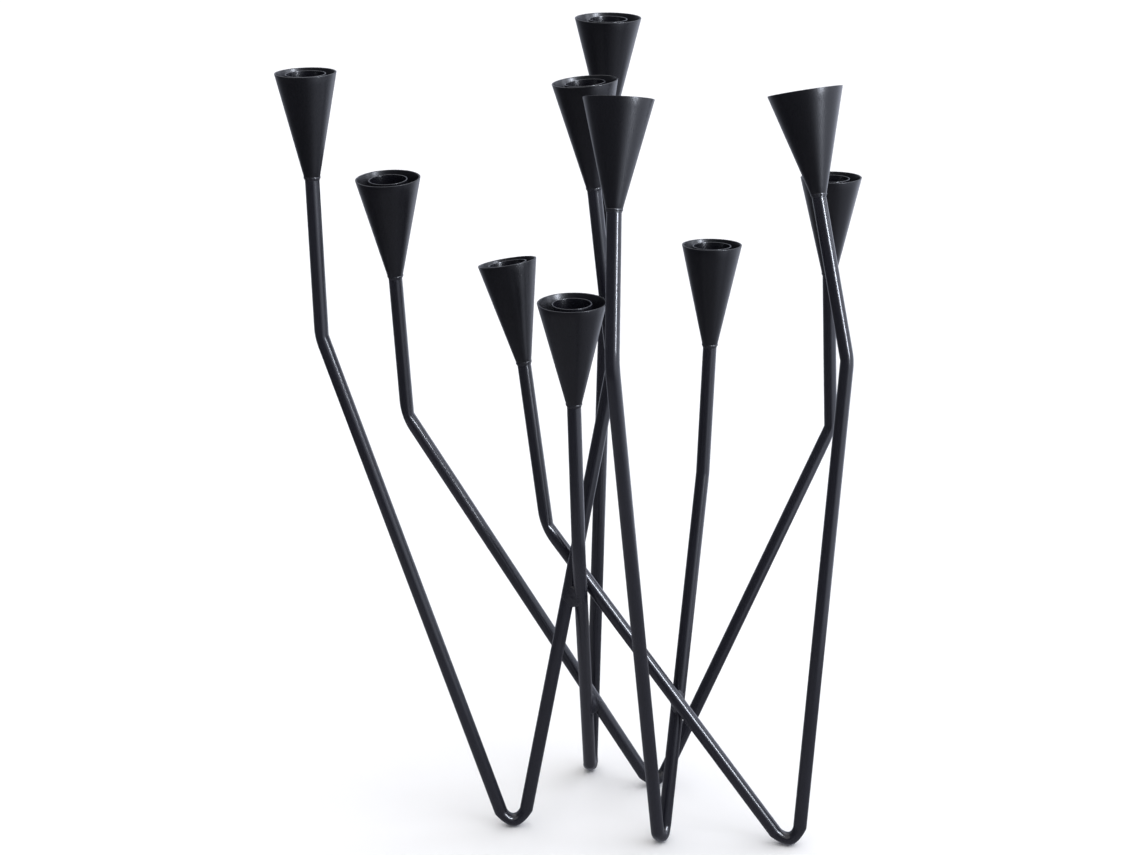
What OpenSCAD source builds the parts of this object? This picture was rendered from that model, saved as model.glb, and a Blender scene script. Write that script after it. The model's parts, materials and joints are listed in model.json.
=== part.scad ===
// Tabletop candelabra: five bent steel rods, tack welded where they cross, each
// standing on its own tight bottom bend and carrying a conical cup on both ends.

/* [Rods] */
// Diameter of the round steel rods
rod_d = 8.5; // [7:0.5:9]
// Centreline radius of the upper bend of each arm
knee_bend_r = 40; // [30:1:60]
// Extra radius at a bend, where the cold-bent steel is upset
bend_swell = 0.05; // [0.05:0.01:0.1]

/* [Cups] */
// Usual length of a sheet-metal cup along its axis
cup_length = 63; // [60:1:70]
// Usual outer diameter of a cup at its rim
cup_rim_d = 40; // [38:1:44]
// Outer diameter of a cup where it sits on the rod's end
cup_foot_d = 9.2; // [8.8:0.1:10]
// Thickness of the cup's sheet
cup_sheet = 1; // [0.8:0.1:1.2]

/* [Candle sleeves] */
// Diameter of the taper candle that a sleeve holds
candle_d = 22; // [20:0.5:23]
// Gap between candle and sleeve, on the radius
candle_gap = 0.2; // [0.1:0.05:0.4]
// Wall of the sleeve
sleeve_wall = 0.8; // [0.6:0.1:1]
// How far the sleeve's edge lies below the cup's rim
sleeve_drop = 0.8; // [0:0.1:3]

/* [Welds] */
// Gap between two rods where a weld joins them
weld_gap = 0.3; // [0.1:0.1:0.5]
// Diameter of the weld bead at a crossing
bead_d = 13; // [12:0.5:15]

/* [Hidden] */
$fn = 96;
black = [0.09, 0.09, 0.1];
black_weld = [0.14, 0.14, 0.15];

ROD_NAMES = ["left", "right", "wide", "tall", "front"];
LEFT = 0;
RIGHT = 1;
WIDE = 2;
TALL = 3;
FRONT = 4;

// Centreline radius of each rod's bottom bend
foot_bend_r = [8.5, 8.5, 8.5, 5.5, 6];

// Each rod's corners, from the end under one cup to the end under the other:
// cup end, upper bend, bottom bend, upper bend, cup end
corners = [
    [[-200, -28, 427], [-198, -26, 331], [-83, -18, -22], [-22, -14, 310], [-34, -18, 419]],
    [[-77, 7, 306], [-63, -2, 202], [97, -46, -10], [119, -28, 317], [100, -14, 415]],
    [[-157, 20, 357], [-152, 26, 266], [10, 37, -5], [127, 92, 238], [122, 91, 343]],
    [[-46, -46, 293], [-43, -39, 196], [-34, 66, -14], [-25, 63, 351], [-25, 57, 449]],
    [[-24, -101, 421], [-25, -116, 337], [10, -39, -16], [36, 15, 231], [39, 16, 314]]
];

// The cups are rolled by hand, so they differ: how much longer than usual the cup on
// each rod's first and last end is, and how much wider its rim is
longer = [[-1, 1], [1, -1], [0, 1.5], [1, 0.5], [-1.5, 1]];
wider = [[-4, -1], [-3.5, 5], [0, -0.5], [1.5, 1], [0, -3]];
function length_of(i, end) = cup_length + longer[i][end];
function rim_d(i, end) = cup_rim_d + wider[i][end];

// Each cup's own lean along X and Y per unit of height: a cup is welded on up to
// 3 degrees off the line of its rod
lean = [
    [[-0.02, -0.05], [-0.09, -0.05]],
    [[-0.16, 0.07], [-0.15, 0.18]],
    [[-0.04, -0.1], [-0.02, -0.03]],
    [[-0.02, -0.06], [0, -0.07]],
    [[0.04, 0.2], [0, 0]]
];
// How far a cup's foot is lifted off the rod's end, so that a leaning foot clears it
foot_lift = 0.25;

// The two arms of a rod, as the numbers of their upper bends
FIRST = 1;
LAST = 3;
FOOT = 2;

function unit(v) = v / norm(v);

// --- Rods -------------------------------------------------------------------

// Angle that a rod turns through at corner k between its neighbours a and b
function turn(a, k, b) = 180 - acos(unit(a - k) * unit(b - k));

// Distance from a corner to where its bend begins
function bend_reach(a, k, b, r) = r * tan(turn(a, k, b) / 2);

// Centre of the bend at corner k
function bend_centre(a, k, b, r) =
    k + unit(unit(a - k) + unit(b - k)) * r / cos(turn(a, k, b) / 2);

// Height of the lowest point of a rod's bottom bend
function foot_height(p, r) =
    let (
        centre = bend_centre(p[FIRST], p[FOOT], p[LAST], r),
        normal = unit(cross(p[FIRST] - p[FOOT], p[LAST] - p[FOOT])),
        slope = norm([normal[0], normal[1]])
    )
    centre[2] - r * slope - rod_d / 2 - bend_swell;

function moved(p, by) = [for (q = p) q + by];

// A rod lowered or raised until its bottom bend stands on z = 0
function standing(p, r) = moved(p, [0, 0, -foot_height(p, r)]);

// A rod slid along Y until its arm touches another rod's arm, but for the weld gap;
// it stays on the side of the other rod that it is on
function slid(p, arm, other, other_arm) =
    let (
        across = cross(unit(p[arm] - p[FOOT]), unit(other[other_arm] - other[FOOT])),
        normal = unit(across) * (across[1] < 0 ? -1 : 1),
        apart = (p[FOOT] - other[FOOT]) * normal,
        wanted = (rod_d + weld_gap) * sign(apart)
    )
    moved(p, [0, (wanted - apart) / normal[1], 0]);

stood = [for (i = [0:4]) standing(corners[i], foot_bend_r[i])];
tall_rod = stood[TALL];
left_rod = slid(stood[LEFT], LAST, tall_rod, FIRST);
right_rod = slid(stood[RIGHT], FIRST, left_rod, LAST);
front_rod = slid(stood[FRONT], LAST, right_rod, FIRST);
wide_rod = slid(stood[WIDE], FIRST, tall_rod, FIRST);
welded = [left_rod, right_rod, wide_rod, tall_rod, front_rod];

function cup_axis(i, end) = unit([lean[i][end][0], lean[i][end][1], 1]);
function foot_of(p, i, end) = (end == 0 ? p[0] : p[4]) + cup_axis(i, end) * foot_lift;

// How far each cup's rim reaches along axis k, and the least and most of it over all cups
function rim_mid(i, end) = foot_of(welded[i], i, end) + cup_axis(i, end) * length_of(i, end);
function rim_reach(i, end, k) = rim_d(i, end) / 2 * sqrt(1 - pow(cup_axis(i, end)[k], 2));

// The same for the bends: places along a bend, each with its direction
function bend_places(p, k, r) =
    let (
        centre = bend_centre(p[k - 1], p[k], p[k + 1], r),
        first = unit(p[k] - p[k - 1]),
        arm = p[k] - first * bend_reach(p[k - 1], p[k], p[k + 1], r) - centre,
        angle = turn(p[k - 1], p[k], p[k + 1])
    )
    [for (s = [0:0.02:1])
        [centre + arm * cos(angle * s) + first * r * sin(angle * s),
            first * cos(angle * s) - arm / r * sin(angle * s)]];
places = [for (i = [0:4], k = [FIRST:LAST])
    each bend_places(welded[i], k, k == FOOT ? foot_bend_r[i] : knee_bend_r)];
function rod_reach(way, k) = (rod_d / 2 + bend_swell) * sqrt(1 - pow(way[k], 2));

function ends_of(k, sign) = concat(
    [for (i = [0:4], end = [0, 1]) rim_mid(i, end)[k] + sign * rim_reach(i, end, k)],
    [for (place = places) place[0][k] + sign * rod_reach(place[1], k)]
);
function middle(k) = (max(ends_of(k, 1)) + min(ends_of(k, -1))) / 2;
rods = [for (p = welded) moved(p, [-middle(0), -middle(1), 0])];

// Places children with their X and Y axes in the plane of two directions
module lay(at, x, y) {
    ex = unit(x);
    ez = unit(cross(ex, y));
    ey = cross(ez, ex);
    multmatrix([
        [ex[0], ey[0], ez[0], at[0]],
        [ex[1], ey[1], ez[1], at[1]],
        [ex[2], ey[2], ez[2], at[2]],
        [0, 0, 0, 1]
    ])
        children();
}

// Places children with their Z axis along a direction
module along(at, z) {
    side = abs(z[0]) < abs(z[1]) ? [1, 0, 0] : [0, 1, 0];
    x = cross(side, z);
    lay(at, x, cross(z, x)) children();
}

module bar(a, b) along(a, unit(b - a)) cylinder(h = norm(b - a), d = rod_d);

module bend(a, k, b, r) {
    centre = bend_centre(a, k, b, r);
    start = k + unit(a - k) * bend_reach(a, k, b, r);
    lay(centre, start - centre, unit(b - k) - unit(a - k))
        rotate_extrude(angle = turn(a, k, b))
            translate([r, 0]) circle(d = rod_d + 2 * bend_swell);
}

module bent_rod(i) {
    p = rods[i];
    radius = [0, knee_bend_r, foot_bend_r[i], knee_bend_r, 0];
    into_bend = 0.5;
    cut = [for (k = [0:4])
        k == 0 || k == 4 ? 0 : bend_reach(p[k - 1], p[k], p[k + 1], radius[k]) - into_bend];
    for (k = [0:3]) {
        dir = unit(p[k + 1] - p[k]);
        bar(p[k] + dir * cut[k], p[k + 1] - dir * cut[k + 1]);
    }
    for (k = [1:3])
        bend(p[k - 1], p[k], p[k + 1], radius[k]);
}

module rod(i) color(black) bent_rod(i);

// --- Cups and candle sleeves ---------------------------------------------------

CUP_NAMES = [
    ["left_high", "centre_high"],
    ["left_low", "right_high"],
    ["left_mid", "right_mid"],
    ["centre_low", "centre_top"],
    ["front_high", "right_low"]
];

// Places children on a cup's foot at the end of a rod, Z along the cup's axis
module on_rod_end(i, end) along(foot_of(rods[i], i, end), cup_axis(i, end)) children();

function slope(i, end) = (rim_d(i, end) - cup_foot_d) / 2 / length_of(i, end);
function sheet_on_radius(i, end) = cup_sheet * sqrt(1 + pow(slope(i, end), 2));
function outer_r(i, end, z) = cup_foot_d / 2 + slope(i, end) * z;
function inner_r(i, end, z) = outer_r(i, end, z) - sheet_on_radius(i, end);
function depth_at(i, end, r) = (r + sheet_on_radius(i, end) - cup_foot_d / 2) / slope(i, end);

module cup(i, end)
    color(black) on_rod_end(i, end) rotate_extrude()
        polygon([
            [inner_r(i, end, 0), 0],
            [outer_r(i, end, 0), 0],
            [outer_r(i, end, length_of(i, end)), length_of(i, end)],
            [inner_r(i, end, length_of(i, end)), length_of(i, end)]
        ]);

sleeve_inner_r = candle_d / 2 + candle_gap;
sleeve_outer_r = sleeve_inner_r + sleeve_wall;

// A tube whose lower edge is cut to the cup's slope, so that it seats on the cone
module sleeve(i, end)
    color(black) on_rod_end(i, end) rotate_extrude()
        polygon([
            [sleeve_inner_r, depth_at(i, end, sleeve_inner_r)],
            [sleeve_outer_r, depth_at(i, end, sleeve_outer_r)],
            [sleeve_outer_r, length_of(i, end) - sleeve_drop],
            [sleeve_inner_r, length_of(i, end) - sleeve_drop]
        ]);

// --- Welds ---------------------------------------------------------------------

weld_leg = 1.6;

// A fillet round the joint between a rod's end and the foot of its cup
module cup_weld(i, end)
    on_rod_end(i, end) rotate_extrude()
        polygon([
            [rod_d / 2 + 0.1, -weld_leg - foot_lift],
            [rod_d / 2 + 0.7, -weld_leg / 2],
            [cup_foot_d / 2 + 0.6, weld_leg / 4],
            [outer_r(i, end, weld_leg), weld_leg],
            [cup_foot_d / 2, 0],
            [rod_d / 2 + 0.1, 0]
        ]);

module cup_welds()
    color(black_weld) for (i = [0:4], end = [0, 1]) cup_weld(i, end);

// The point midway between two arms where they pass closest
function crossing(i, arm, j, other_arm) =
    let (
        a = rods[i][FOOT],
        b = rods[j][FOOT],
        u = unit(rods[i][arm] - a),
        v = unit(rods[j][other_arm] - b),
        n = cross(u, v),
        s = cross(b - a, v) * n / (n * n),
        t = cross(b - a, u) * n / (n * n)
    )
    (a + u * s + b + v * t) / 2;

// A bead that fills the corner between two crossing rods
module crossing_weld(i, arm, j, other_arm)
    color(black_weld) difference() {
        translate(crossing(i, arm, j, other_arm)) sphere(d = bead_d);
        bent_rod(i);
        bent_rod(j);
    }

module weld_tall_left() crossing_weld(TALL, FIRST, LEFT, LAST);
module weld_left_right() crossing_weld(LEFT, LAST, RIGHT, FIRST);
module weld_right_front() crossing_weld(RIGHT, FIRST, FRONT, LAST);
module weld_tall_wide() crossing_weld(TALL, FIRST, WIDE, FIRST);

// --- The whole candelabra ---------------------------------------------------------

for (i = [0:4])
    rod(i);
for (i = [0:4], end = [0, 1])
    cup(i, end);
for (i = [0:4], end = [0, 1])
    sleeve(i, end);
cup_welds();
weld_tall_left();
weld_left_right();
weld_right_front();
weld_tall_wide();
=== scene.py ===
# %% [markdown]
# # A tabletop candelabra in black powder coat
#
# Five bent steel rods cross and are tack welded where they touch. Each rod stands on its own
# tight bottom bend, and each of its two ends carries a cone of sheet steel with a candle sleeve
# inside. The CAD model fixes every size and place, so this lesson makes finer meshes and
# finishes round it: the frame comes first, then the camera, and then one kind of piece at a time.

# %% The CAD frame
import json
import math

import bmesh
import bpy
from mathutils import Matrix, Vector, noise


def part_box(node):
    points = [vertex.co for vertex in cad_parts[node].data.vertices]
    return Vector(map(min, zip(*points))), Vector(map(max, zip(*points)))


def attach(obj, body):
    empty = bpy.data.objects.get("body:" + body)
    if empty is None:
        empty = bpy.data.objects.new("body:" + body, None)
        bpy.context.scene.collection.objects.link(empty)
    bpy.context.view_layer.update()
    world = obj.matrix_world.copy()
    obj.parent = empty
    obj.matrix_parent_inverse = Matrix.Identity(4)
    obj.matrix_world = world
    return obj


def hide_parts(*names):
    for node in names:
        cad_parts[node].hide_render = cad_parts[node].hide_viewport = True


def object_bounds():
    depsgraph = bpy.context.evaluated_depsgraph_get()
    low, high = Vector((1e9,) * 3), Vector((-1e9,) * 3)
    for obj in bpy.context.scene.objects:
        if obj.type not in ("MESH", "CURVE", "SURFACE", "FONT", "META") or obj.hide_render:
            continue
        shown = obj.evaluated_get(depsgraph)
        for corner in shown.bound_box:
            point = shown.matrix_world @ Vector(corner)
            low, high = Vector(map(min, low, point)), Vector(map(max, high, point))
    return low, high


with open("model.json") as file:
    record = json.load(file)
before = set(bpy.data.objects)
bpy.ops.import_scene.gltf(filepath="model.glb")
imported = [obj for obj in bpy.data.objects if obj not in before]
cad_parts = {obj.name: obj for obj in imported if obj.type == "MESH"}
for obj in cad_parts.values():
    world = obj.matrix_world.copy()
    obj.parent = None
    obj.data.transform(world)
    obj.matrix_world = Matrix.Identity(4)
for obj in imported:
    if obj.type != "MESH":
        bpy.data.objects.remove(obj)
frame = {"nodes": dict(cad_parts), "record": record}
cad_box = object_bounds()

MM = 0.001
cad_size = cad_box[1] - cad_box[0]
print("CAD size in mm:", [round(side / MM, 1) for side in cad_size])

# %% [markdown]
# ## The camera
#
# A short telephoto lens looks down from a little above the tallest candle cup. The long lens
# keeps the verticals calm, and the height shows the ellipses of the cups. A camera turned 90
# degrees about X looks level along +Y, so a downward tilt is taken off that.

# %% Camera
CAMERA_TILT = math.radians(16.73)
camera_data = bpy.data.cameras.new("studio_camera")
camera_data.sensor_width = 36
camera_data.lens = 63.2
camera = bpy.data.objects.new("studio_camera", camera_data)
camera.location = (-0.0090, -1.1922, 0.6258)
camera.rotation_euler = (math.radians(90) - CAMERA_TILT, 0, 0)
bpy.context.scene.collection.objects.link(camera)
bpy.context.scene.camera = camera
print("lens", camera_data.lens, "mm, tilt", round(math.degrees(CAMERA_TILT), 1), "degrees")

# %% [markdown]
# ## Colours and shader nodes
#
# Shaders work in linear light, while hex colours are sRGB. One function does the change, and one
# small function adds a shader node with its settings, its values and its links.

# %% Colour and node helpers
def linear(hex_colour):
    channels = [int(hex_colour[i:i + 2], 16) / 255 for i in (1, 3, 5)]
    return [c / 12.92 if c <= 0.04045 else ((c + 0.055) / 1.055) ** 2.4 for c in channels] + [1]


def add(tree, kind, inputs, **settings):
    node = tree.nodes.new("ShaderNode" + kind)
    for name, value in settings.items():
        setattr(node, name, value)
    for name, value in inputs.items():
        if isinstance(value, bpy.types.NodeSocket):
            tree.links.new(value, node.inputs[name])
        else:
            node.inputs[name].default_value = value
    return node


print("black #1b1b20 in linear light:", [round(c, 4) for c in linear("#1b1b20")])

# %% [markdown]
# ## Satin black powder coat
#
# Powder coat is polyester powder that is sprayed on and melted in an oven. It flows out almost
# smooth but keeps a faint orange peel, waves about 2 mm apart and a few micrometres high, with
# a finer grain on top. To the eye that gives a deep black with soft-edged highlights that
# tremble a little along a rod. It is a plastic film, so it isn't metallic, and its IOR is 1.5.
# The coat of the cups is set a little less shiny than that of the rods, to keep the cones dark.
# Its colour is also drawn darker than the rods' black: painted shade, for the cones' darker look.
# The colour wanders slightly where the film is thicker or thinner.

# %% Powder coat material
PEEL_SPACING = 2.2 * MM
GRAIN_SPACING = 0.45 * MM  # real grain is about 0.1 mm: drawn coarser, so that it shows
FILM_PATCH = 35 * MM
GRAIN_SHARE = 0.15  # height of the grain as a share of the peel's


def powder_coat(name, dark, light, roughness, peel_height, shine):
    material = bpy.data.materials.new(name)
    material.use_nodes = True
    tree = material.node_tree
    tree.nodes.clear()
    place = add(tree, "TexCoord", {}).outputs["Object"]
    patch = add(tree, "TexNoise", {"Vector": place, "Scale": 1 / FILM_PATCH, "Detail": 2.0})
    peel = add(tree, "TexNoise", {"Vector": place, "Scale": 1 / PEEL_SPACING, "Detail": 1.0})
    grain = add(tree, "TexNoise", {"Vector": place, "Scale": 1 / GRAIN_SPACING, "Detail": 2.0})
    colour = add(tree, "Mix", {"Factor": patch.outputs["Fac"]}, data_type="RGBA")
    colour.inputs["A"].default_value = linear(dark)
    colour.inputs["B"].default_value = linear(light)
    gloss = add(tree, "MapRange", {
        "Value": grain.outputs["Fac"], "From Min": 0.3, "From Max": 0.7,
        "To Min": roughness - 0.03, "To Max": roughness + 0.05})
    waves = add(tree, "Bump", {
        "Height": peel.outputs["Fac"], "Strength": 1.0, "Distance": peel_height})
    fine = add(tree, "Bump", {
        "Height": grain.outputs["Fac"], "Strength": 1.0, "Distance": peel_height * GRAIN_SHARE,
        "Normal": waves.outputs["Normal"]})
    shader = add(tree, "BsdfPrincipled", {
        "Base Color": colour.outputs["Result"], "Roughness": gloss.outputs["Result"],
        "IOR": 1.5, "Specular IOR Level": shine, "Normal": fine.outputs["Normal"]})
    add(tree, "OutputMaterial", {"Surface": shader.outputs["BSDF"]})
    return material


rod_coat = powder_coat("satin_powder_coat_rods", "#15151c", "#1c1c24", 0.22, 0.005 * MM, 0.5)
# the cups' darker colour is painted shade on the same black coat as the rods
cup_coat_painted_darker = powder_coat("satin_powder_coat_cups_painted_darker", "#0c0c11", "#121218", 0.30, 0.008 * MM, 0.38)
sleeve_coat = powder_coat("satin_powder_coat_sleeves", "#101017", "#17171e", 0.24, 0.008 * MM, 0.5)
weld_coat = powder_coat("powder_coat_over_weld", "#15151c", "#1c1c24", 0.32, 0.05 * MM, 0.5)
print("materials:", [m.name for m in (rod_coat, cup_coat_painted_darker, sleeve_coat, weld_coat)])

# %% [markdown]
# ## From a bmesh to a finished piece
#
# Every piece is smooth shaded, but for edges over 50 degrees, which stay crisp. It stands at the
# origin with its place in its mesh, rides on the candelabra's one body, and hides the CAD node
# that it replaces.

# %% Finishing a piece
SAME_PLACE = 0.001 * MM
CRISP = math.radians(50)


def finish_piece(bm, name, material, slot, *nodes):
    bmesh.ops.remove_doubles(bm, verts=bm.verts, dist=SAME_PLACE)
    bmesh.ops.recalc_face_normals(bm, faces=bm.faces)
    for face in bm.faces:
        face.smooth = True
    for edge in bm.edges:
        edge.smooth = edge.calc_face_angle(0) < CRISP
    mesh = bpy.data.meshes.new(name)
    bm.to_mesh(mesh)
    bm.free()
    mesh.materials.append(material)
    piece = bpy.data.objects.new(name, mesh)
    bpy.context.scene.collection.objects.link(piece)
    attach(piece, "root")
    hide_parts(*nodes)
    return piece


# %% [markdown]
# ## Reading a rod out of the frame
#
# The candelabra's straight runs lie at odd angles, so a rod's box doesn't say where they are.
# But a straight run of a CAD cylinder has long edges from end to end and a bend has only
# short ones. Long edges that are parallel and lie close together belong to one straight run,
# and the middle of their ends is the middle of the rod there.

# %% Straight runs of a rod
LONG_EDGE = 30 * MM
PARALLEL = 0.999
ONE_ROD = 12 * MM


def straight_runs(node):
    bm = bmesh.new()
    bm.from_mesh(frame["nodes"][node].data)
    bmesh.ops.remove_doubles(bm, verts=bm.verts, dist=SAME_PLACE)
    runs = []
    for edge in bm.edges:
        if edge.calc_length() < LONG_EDGE:
            continue
        low, high = sorted((v.co.copy().freeze() for v in edge.verts), key=lambda co: co.z)
        direction = (high - low).normalized()
        run = next((r for r in runs if r[0].dot(direction) > PARALLEL
                    and (low - r[3]).cross(r[0]).length < ONE_ROD), None)
        if run is None:
            run = (direction, set(), set(), low)
            runs.append(run)
        run[1].add(low)
        run[2].add(high)
    bm.free()
    middles = [(sum(lows, Vector()) / len(lows), sum(highs, Vector()) / len(highs))
               for _, lows, highs, _ in runs]
    return sorted(middles, key=lambda run: run[0].z)


def rod_route(node):
    """The ends of the four straight runs, in order along the rod."""
    leg_a, leg_b, *tops = straight_runs(node)
    top_a = min(tops, key=lambda top: (top[0] - leg_a[1]).length)
    top_b = min(tops, key=lambda top: (top[0] - leg_b[1]).length)
    return [(top_a[1], top_a[0]), (leg_a[1], leg_a[0]), leg_b, top_b]


rod_nodes = sorted(name for name in frame["nodes"] if name.startswith("rod_"))
routes = {name: rod_route(name) for name in rod_nodes}
for name in rod_nodes:
    lengths = [(end - start).length / MM for start, end in routes[name]]
    print(name, "straight runs in mm:", [round(length, 1) for length in lengths])

# %% Thickness of a rod
def rod_radius(node):
    start, end = routes[node][1]
    along = (end - start).normalized()
    middle = [v.co - start for v in frame["nodes"][node].data.vertices
              if (v.co - start).length < 10 * MM]
    on_ring = [p for p in middle if abs(p.dot(along)) < 0.05 * MM]
    return sum((p - along * p.dot(along)).length for p in on_ring) / len(on_ring)


ROD_R = round(rod_radius(rod_nodes[0]) / MM, 2) * MM
print("rod radius in mm:", round(ROD_R / MM, 3))

# %% [markdown]
# ## Bending a rod
#
# A real rod goes through a bender: it is fed straight, bent round a former, fed straight again.
# bmesh can work in the same order. A circle is the rod's section, extrude feeds it straight,
# and spin swings it round the centre of each bend, which is found from where the straight
# runs end.

# %% The bender
RING = 48
BEND_STEP = math.radians(3)
HOLD = 1.5 * MM  # a ring this near each end of a straight run keeps its shading straight


def ring_edges(geometry):
    return [g for g in geometry if isinstance(g, bmesh.types.BMEdge)]


def feed(bm, ring, move):
    """Pushes the section straight on and returns the new ring of edges."""
    made = bmesh.ops.extrude_edge_only(bm, edges=ring)["geom"]
    verts = [g for g in made if isinstance(g, bmesh.types.BMVert)]
    bmesh.ops.translate(bm, verts=verts, vec=move)
    return [e for e in ring_edges(made) if all(v in verts for v in e.verts)]


def feed_run(bm, ring, move):
    hold = move.normalized() * HOLD
    for part in (hold, move - hold * 2, hold):
        ring = feed(bm, ring, part)
    return ring


def bend_facts(run, next_run):
    """Centre, axis, angle, radius and corner of the bend between two straight runs."""
    before = (run[1] - run[0]).normalized()
    after = (next_run[1] - next_run[0]).normalized()
    axis = before.cross(after).normalized()
    angle = before.angle(after)
    radius = (next_run[0] - run[1]).length / 2 / math.sin(angle / 2)
    centre = run[1] + axis.cross(before) * radius
    corner = run[1] + before * radius * math.tan(angle / 2)
    return {"centre": centre, "axis": axis, "angle": angle, "radius": radius,
            "corner": corner, "before": before, "after": after}


def swing(bm, ring, bend):
    """Swings the section round the bend's centre and returns the last ring and the new verts."""
    known = set(bm.verts)
    steps = 2 * math.ceil(bend["angle"] / BEND_STEP / 2 + 6)
    last = bmesh.ops.spin(bm, geom=ring, cent=bend["centre"], axis=bend["axis"],
                          angle=bend["angle"], steps=steps)["geom_last"]
    return ring_edges(last), [v for v in bm.verts if v not in known]


# %% [markdown]
# ## What a bend does to the section
#
# These rods were bent cold over a hard edge. At an upper bend the outside runs round in a
# smooth arc, while the inside folds into a crease, so the inner half of each ring is moved
# onto the two straight runs carried on until they meet. At a bottom bend the steel is
# squashed and pinched: the two sides of the U are pressed together, the section grows wider
# across the bend and its outer face goes flat, which is also what the candelabra stands on.

# %% Crease and squash
def ease(low, high, value):
    t = min(max((value - low) / (high - low), 0), 1)
    return t * t * (3 - 2 * t)


def place_in_bend(co, bend):
    """Angle round the bend, and offsets towards its centre and along its axis."""
    arm = co - bend["centre"]
    side = arm.dot(bend["axis"])
    flat = arm - bend["axis"] * side
    start = bend["before"].cross(bend["axis"]).normalized()
    turned = math.atan2(flat.dot(bend["before"]), flat.dot(start))
    return turned, bend["radius"] - flat.length, side


def crease(verts, bend):
    half = bend["angle"] / 2
    reach = bend["radius"] * math.tan(half)
    for v in verts:
        turned, inward, side = place_in_bend(v.co, bend)
        first = turned < half
        share = (turned if first else bend["angle"] - turned) / half
        out = -bend["before"] if first else bend["after"]
        inner = bend["axis"].cross(bend["before"] if first else bend["after"])
        meet = inward * math.tan(half)
        along = reach + (meet - reach) * min(max(share, 0), 1)
        folded = bend["corner"] + out * along + inner * inward + bend["axis"] * side
        v.co = v.co.lerp(folded, ease(-0.1, 0.75, inward / ROD_R))


SQUASH_WIDER = 0.14
SQUASH_FLATTER = 0.10
PINCH = 0.3


def squash_bottom(verts, bend):
    across = (bend["before"] + bend["after"]).normalized()
    for v in verts:
        turned, inward, side = place_in_bend(v.co, bend)
        middle = math.sin(math.pi * min(max(turned / bend["angle"], 0), 1))
        strength = ease(0, 0.9, middle)
        face = abs(inward) / ROD_R
        wider = side * SQUASH_WIDER * strength * (1 + 0.35 * face)
        thinner = -inward * SQUASH_FLATTER * strength if inward > 0 else 0
        to_centre = (bend["centre"] + bend["axis"] * side - v.co).normalized()
        pinched = across * (v.co - bend["centre"]).dot(across) * PINCH * middle
        v.co += bend["axis"] * wider + to_centre * thinner - pinched


# %% Rods
def bent_rod(node):
    runs = routes[node]
    start, end = runs[0]
    bm = bmesh.new()
    facing = (end - start).to_track_quat("Z", "Y").to_matrix().to_4x4()
    section = bmesh.ops.create_circle(
        bm, segments=RING, radius=ROD_R, cap_ends=True,
        matrix=Matrix.Translation(start) @ facing)["verts"]
    ring = list({e for v in section for e in v.link_edges})
    for number, run in enumerate(runs):
        ring = feed_run(bm, ring, run[1] - run[0])
        if number < 3:
            bend = bend_facts(run, runs[number + 1])
            ring, bent = swing(bm, ring, bend)
            if number == 1:
                squash_bottom(bent, bend)
            else:
                crease(bent, bend)
            print(node, "bend", round(math.degrees(bend["angle"]), 1), "degrees, radius",
                  round(bend["radius"] / MM, 1), "mm")
    bmesh.ops.contextual_create(bm, geom=ring)
    return finish_piece(bm, "bent_" + node, rod_coat, "rod_black", node)


for node in rod_nodes:
    piece = bent_rod(node)
    print(piece.name, len(piece.data.polygons), "faces")

# %% [markdown]
# ## Turned pieces
#
# The cups and sleeves are round about the axis of their candle, and the record's mounts give
# that axis. A piece is turned like on a lathe: a profile is drawn, radius against height,
# and spun about Z, its sharp rims are bevelled, and it is moved onto the candle's axis.

# %% Reading a round piece along its axis
candle_mounts = {m["name"].removeprefix("candle_"): m
                 for m in frame["record"]["mounts"] if m["name"].startswith("candle_")}


def round_size(node, mount):
    """Low and high end along the mount's axis, each with its inner and outer radius."""
    point, axis = Vector(mount["pos_m"]), Vector(mount["axis"])
    heights = []
    for v in frame["nodes"][node].data.vertices:
        height = (v.co - point).dot(axis)
        radius = (v.co - point - axis * height).length
        heights.append((height, radius))
    low, high = min(heights)[0], max(heights)[0]
    ends = {}
    for name, level in (("low", low), ("high", high)):
        radii = [r for h, r in heights if abs(h - level) < 0.05 * MM]
        ends[name] = (level, min(radii), max(radii))
    return ends


for name, mount in candle_mounts.items():
    ends = round_size("cup_" + name, mount)
    print(name, {end: [round(value / MM, 2) for value in ends[end]] for end in ends})

# %% The lathe
TURN_STEPS = 96


def turn(bm, profile):
    """Spins a closed profile of (radius, height) points about Z."""
    verts = [bm.verts.new((radius, 0, height)) for radius, height in profile]
    edges = [bm.edges.new((verts[i - 1], verts[i])) for i in range(len(verts))]
    bmesh.ops.spin(bm, geom=verts + edges, cent=(0, 0, 0), axis=(0, 0, 1),
                   angle=math.tau, steps=TURN_STEPS, use_merge=True)
    bmesh.ops.remove_doubles(bm, verts=bm.verts, dist=SAME_PLACE)
    bmesh.ops.recalc_face_normals(bm, faces=bm.faces)


def soften_rims(bm, radius):
    """Rounds every sharp circular edge."""
    sharp = [e for e in bm.edges if len(e.link_faces) == 2
             and e.calc_face_angle() > CRISP]
    bmesh.ops.bevel(bm, geom=sharp, offset=radius, offset_type="OFFSET", segments=4,
                    profile=0.5, affect="EDGES", material=-1)


def move_onto_axis(bm, mount):
    axis = Vector(mount["axis"]).to_track_quat("Z", "Y").to_matrix().to_4x4()
    bmesh.ops.transform(bm, verts=bm.verts,
                        matrix=Matrix.Translation(Vector(mount["pos_m"])) @ axis)


# %% [markdown]
# ## Cups
#
# A cup is a cone rolled from 1 mm sheet and dressed smooth. Its profile has four corners: the
# outer and inner wall at the foot and at the rim. A long face from foot to rim would shade
# well enough, but a few loops along it keep the faces close to square.

# %% Cups
CUP_LOOPS = 12
RIM_ROUND = 0.3 * MM


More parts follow.
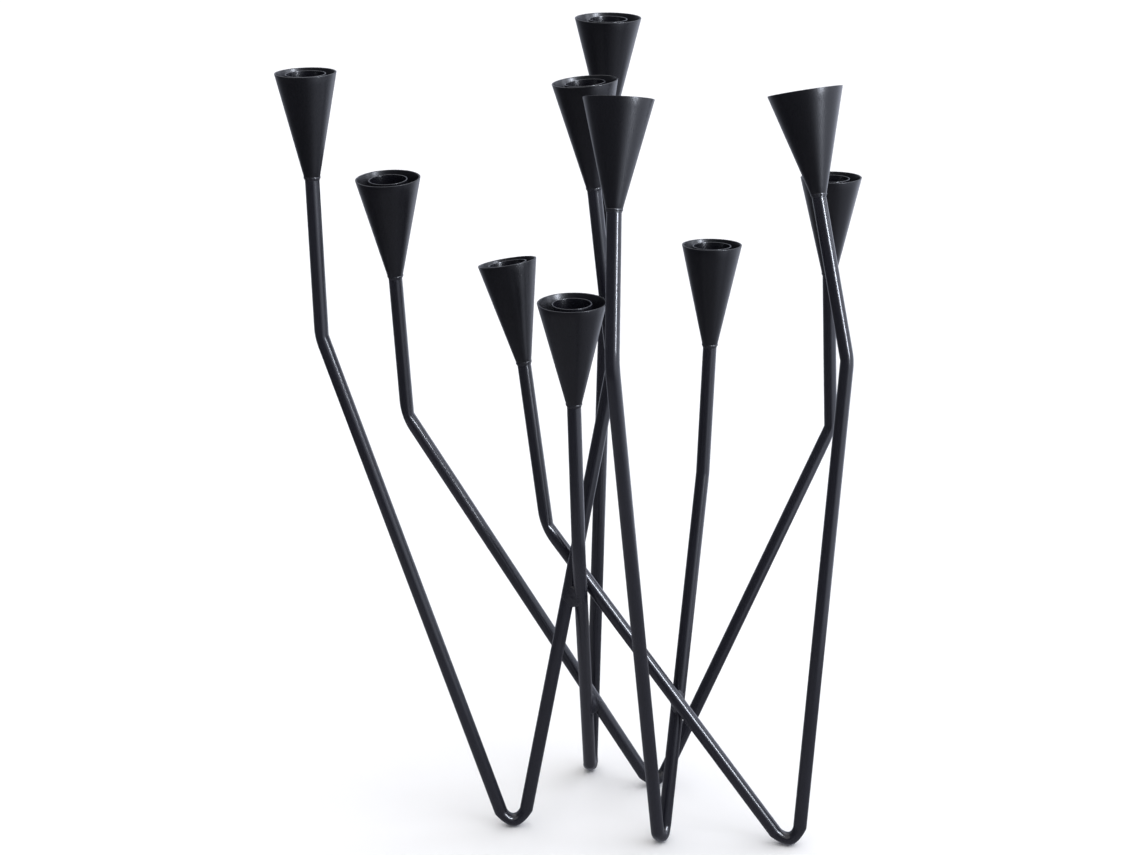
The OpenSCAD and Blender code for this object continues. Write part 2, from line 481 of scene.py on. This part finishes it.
def wall(start, end, count):
    return [(start[0] + (end[0] - start[0]) * i / count, start[1] + (end[1] - start[1]) * i / count)
            for i in range(count)]


def cup(name, mount):
    ends = round_size("cup_" + name, mount)
    low, low_inner, low_outer = ends["low"]
    high, high_inner, high_outer = ends["high"]
    bm = bmesh.new()
    turn(bm, wall((low_outer, low), (high_outer, high), CUP_LOOPS) + [(high_outer, high)]
         + wall((high_inner, high), (low_inner, low), CUP_LOOPS) + [(low_inner, low)])
    soften_rims(bm, RIM_ROUND)
    move_onto_axis(bm, mount)
    return finish_piece(bm, "cone_" + name, cup_coat_painted_darker, "cup_black", "cup_" + name)


for name, mount in candle_mounts.items():
    piece = cup(name, mount)
    print(piece.name, len(piece.data.polygons), "faces")

# %% [markdown]
# ## Candle sleeves
#
# The sleeve is a short piece of thin tube. Its lower edge is cut to the slope of the cone and
# rests on it, and its upper edge lies just under the cup's rim.

# %% Sleeves
def sleeve(name, mount):
    node = "sleeve_" + name
    ends = round_size(node, mount)
    bore = mount["dims"]["r_mm"] * MM
    low, high, outer = ends["low"][0], ends["high"][0], ends["high"][2]
    seat = cup_seat_height(name, mount, outer)
    bm = bmesh.new()
    turn(bm, [(bore, low), (outer, seat), (outer, high), (bore, high)])
    soften_rims(bm, 0.25 * MM)
    move_onto_axis(bm, mount)
    return finish_piece(bm, "tube_" + name, sleeve_coat, "sleeve_black", node)


def cup_seat_height(name, mount, radius):
    """Height at which the cup's inner wall has a given radius."""
    ends = round_size("cup_" + name, mount)
    low, low_inner, _ = ends["low"]
    high, high_inner, _ = ends["high"]
    return low + (high - low) * (radius - low_inner) / (high_inner - low_inner)


for name, mount in candle_mounts.items():
    piece = sleeve(name, mount)
    print(piece.name, len(piece.data.polygons), "faces")

# %% [markdown]
# ## Weld beads under the cups
#
# The cone is welded all round to the rod's end. A hand-made bead is a row of small overlapping
# pools, so its surface rises and falls a little on the way round. The bead is turned from a
# half-round profile, and then each vertex is moved out by a ripple and some smooth noise.

# %% Cup weld beads
BEAD_HALF_HEIGHT = 1.1 * MM
BEAD_PROUD = 0.32 * MM
BEAD_ROOT = 0.4 * MM  # how far the bead reaches into the rod
BEAD_STEPS = 10
CONE_SLOPE = 0.24  # growth of a cone's radius with its height
POOLS = 14


def cup_bead(bm, mount, low, foot_radius, seed):
    made = bmesh.new()
    profile = []
    for i in range(BEAD_STEPS + 1):
        t = i / BEAD_STEPS * 2 - 1
        skin = ROD_R if t < 0 else foot_radius + CONE_SLOPE * t * BEAD_HALF_HEIGHT
        profile.append((skin + BEAD_PROUD * math.sqrt(1 - t * t), low + t * BEAD_HALF_HEIGHT))
    profile.append((ROD_R - BEAD_ROOT, low + BEAD_HALF_HEIGHT))
    profile.append((ROD_R - BEAD_ROOT, low - BEAD_HALF_HEIGHT))
    turn(made, profile)
    for v in made.verts:
        around = math.atan2(v.co.y, v.co.x)
        flat = Vector((v.co.x, v.co.y, 0))
        if flat.length < ROD_R:
            continue
        pool = abs(math.sin(around * POOLS / 2 + seed))
        lump = noise.noise(v.co / (2.5 * MM) + Vector((seed * 7, 0, 0)))
        v.co += flat.normalized() * (0.08 * pool - 0.06 + 0.14 * lump) * MM
        v.co.z += noise.noise(flat / (3 * MM) + Vector((0, seed * 5, 0))) * 0.3 * MM
    move_onto_axis(made, mount)
    joined = bpy.data.meshes.new("bead")
    made.to_mesh(joined)
    made.free()
    bm.from_mesh(joined)
    bpy.data.meshes.remove(joined)


bm = bmesh.new()
for seed, (name, mount) in enumerate(candle_mounts.items()):
    low, _, foot_radius = round_size("cup_" + name, mount)["low"]
    cup_bead(bm, mount, low, foot_radius, seed)
piece = finish_piece(bm, "cup_weld_beads", weld_coat, "weld_black", "cup_welds")
print(piece.name, len(piece.data.polygons), "faces")

# %% [markdown]
# ## Tack welds at the crossings
#
# Where two rods cross, a tack weld fills the narrow corner between them. Its surface is found
# with a smooth minimum: the distances to the two rods are blended, and where the blend is
# zero lies a fillet that runs off both rods. An icosphere is blown up until each of its
# points meets that surface or the edge of the weld.

# %% Crossing welds
WELD_REACH = 7.5 * MM
WELD_BLEND = 5.5 * MM
NEAR_SKIN = 0.02 * MM
SHORTEST_STEP = 0.03 * MM


def distance_to_run(point, run):
    start, end = run
    along = (end - start).normalized()
    arm = point - start
    return (arm - along * arm.dot(along)).length - ROD_R


def smooth_minimum(a, b, blend):
    h = max(blend - abs(a - b), 0) / blend
    return min(a, b) - h * h * blend / 4


def crossing_weld(node, seed):
    low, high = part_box(node)
    centre = (low + high) / 2
    legs = [run for route in routes.values() for run in route]
    legs.sort(key=lambda run: abs(distance_to_run(centre, run)))
    first, second = legs[:2]
    bm = bmesh.new()
    bmesh.ops.create_icosphere(bm, subdivisions=5, radius=1)
    favoured = Vector((-0.5, -0.5, -0.7)).normalized()
    for v in bm.verts:
        out = v.co.normalized()
        blend = WELD_BLEND * (1 + 0.35 * out.dot(favoured))
        reach = 0.5 * MM
        while reach < WELD_REACH:
            point = centre + out * reach
            gap = smooth_minimum(distance_to_run(point, first), distance_to_run(point, second), blend)
            if gap > -NEAR_SKIN:
                break
            reach += max(-gap * 0.6, SHORTEST_STEP)
        lump = noise.noise(out * 2.4 + Vector((seed * 3, 0, 0))) * 0.5 * MM
        ripple = noise.noise(out * 9 + Vector((0, seed * 3, 0))) * 0.12 * MM
        v.co = centre + out * (min(reach, WELD_REACH) + lump + ripple)
    bmesh.ops.smooth_vert(bm, verts=bm.verts, factor=0.5, use_axis_x=True,
                          use_axis_y=True, use_axis_z=True)
    return finish_piece(bm, "tack_" + node, weld_coat, "weld_black", node)


weld_nodes = sorted(name for name in frame["nodes"] if name.startswith("weld_"))
for seed, node in enumerate(weld_nodes):
    piece = crossing_weld(node, seed)
    print(piece.name, len(piece.data.polygons), "faces")

# %% [markdown]
# ## Floor and light
#
# Glossy black shows its surroundings more than itself. In the studio the camera's side and the
# left are dark, so the coat stays black there, and the right is pale, so every rod and cup
# has one lit flank. Tall narrow softboxes on the right draw the bright lines down the rods.
# The pale floor is lit by one large soft lamp overhead. It is hidden from reflections, because
# a mirrored white floor would turn all the black grey. A round mat that glows an even grey lies
# just under it and is seen only in reflections, where it gives the lower rods and cups their
# softer black. A pale wall far off closes the view from low angles and lights nothing.

# %% Setting out the studio
FLOOR_HALF = 40
MAT_RADIUS = 0.5
MAT_DEPTH = 0.5 * MM
WALL_RADIUS = 39
ROUND_STEPS = 96


def even_glow(name, colour):
    """A material that glows evenly and reflects nothing."""
    material = bpy.data.materials.new(name)
    material.use_nodes = True
    shader = material.node_tree.nodes["Principled BSDF"]
    shader.inputs["Base Color"].default_value = linear("#000000")
    shader.inputs["Specular IOR Level"].default_value = 0
    shader.inputs["Emission Color"].default_value = linear(colour)
    shader.inputs["Emission Strength"].default_value = 1
    return material


def set_out(bm, name, material, *hidden_from):
    """Makes a stage piece that some kinds of ray don't see."""
    mesh = bpy.data.meshes.new(name)
    bm.to_mesh(mesh)
    bm.free()
    mesh.materials.append(material)
    stage_piece = bpy.data.objects.new(name, mesh)
    for ray in hidden_from:
        setattr(stage_piece, "visible_" + ray, False)
    bpy.context.scene.collection.objects.link(stage_piece)


floor_paper = bpy.data.materials.new("pale_paper_floor")
floor_paper.use_nodes = True
paper = floor_paper.node_tree.nodes["Principled BSDF"]
paper.inputs["Base Color"].default_value = linear("#f4f2ee")
paper.inputs["Roughness"].default_value = 0.9

bm = bmesh.new()
bmesh.ops.create_grid(bm, x_segments=1, y_segments=1, size=FLOOR_HALF)
set_out(bm, "floor", floor_paper, "glossy")

bm = bmesh.new()
bmesh.ops.create_circle(bm, segments=ROUND_STEPS, radius=MAT_RADIUS, cap_ends=True,
                        matrix=Matrix.Translation((0, 0, -MAT_DEPTH)))
set_out(bm, "glowing_mat", even_glow("even_grey_glow", "#9a9ca6"), "diffuse", "camera")

bm = bmesh.new()
bmesh.ops.create_cone(bm, segments=ROUND_STEPS, radius1=WALL_RADIUS, radius2=WALL_RADIUS,
                      depth=2 * WALL_RADIUS)
set_out(bm, "pale_wall", even_glow("pale_paper_wall", "#f6f6f6"), "glossy", "diffuse", "shadow")
print("floor reaches", FLOOR_HALF, "m each way, mat", MAT_RADIUS, "m, wall", WALL_RADIUS, "m")

# %% The room
room = bpy.data.worlds.new("studio_room")
room.use_nodes = True
tree = room.node_tree
tree.nodes.clear()
way = add(tree, "SeparateXYZ", {"Vector": add(tree, "TexCoord", {}).outputs["Generated"]})
pale_right = add(tree, "MapRange", {
    "Value": way.outputs["X"], "From Min": 0.1, "From Max": 0.75, "To Min": 0.1,
    "To Max": 1.0}, interpolation_type="SMOOTHSTEP")
pale_back = add(tree, "MapRange", {
    "Value": way.outputs["Y"], "From Min": 0.3, "From Max": 1.0, "To Min": 0.0,
    "To Max": 0.3}, interpolation_type="SMOOTHSTEP")
pale_band = add(tree, "MapRange", {
    "Value": way.outputs["Z"], "From Min": -0.6, "From Max": -0.3, "To Min": 0.6,
    "To Max": 1.75}, interpolation_type="SMOOTHSTEP")
sides = add(tree, "Math", {0: pale_right.outputs["Result"], 1: pale_back.outputs["Result"]})
both = add(tree, "Math", {0: sides.outputs["Value"], 1: pale_band.outputs["Result"]},
           operation="MULTIPLY")
air = add(tree, "Background", {"Color": linear("#dfe5f6"), "Strength": both.outputs["Value"]})
add(tree, "OutputWorld", {"Surface": air.outputs["Background"]})
bpy.context.scene.world = room
bpy.context.scene.view_settings.view_transform = "Standard"
print("the room is pale towards +X, a little towards +Y, and darker below")

# %% Lamps
middle = Vector((0, 0, cad_size.z / 2))


def softbox(name, azimuth, elevation, distance, width, height, power):
    """An area light that faces the middle of the candelabra and shows in reflections only."""
    data = bpy.data.lights.new(name, "AREA")
    data.shape = "RECTANGLE"
    data.size, data.size_y, data.energy = width, height, power
    data.color = linear("#e6ecf8")[:3]
    light = bpy.data.objects.new(name, data)
    a, e = math.radians(azimuth), math.radians(elevation)
    out = Vector((math.sin(a) * math.cos(e), -math.cos(a) * math.cos(e), math.sin(e)))
    light.location = middle + out * distance
    light.rotation_euler = out.to_track_quat("Z", "Y").to_euler()
    light.visible_diffuse = False
    bpy.context.scene.collection.objects.link(light)


softbox("strip_right", 50, 27, 1.0, 0.12, 0.8, 22)
softbox("strip_far_right", 85, 30, 1.4, 0.25, 0.9, 5)

overhead = bpy.data.lights.new("overhead", "SUN")
overhead.angle = math.radians(110)
overhead.energy = 2.4
overhead_lamp = bpy.data.objects.new("overhead", overhead)
bpy.context.scene.collection.objects.link(overhead_lamp)
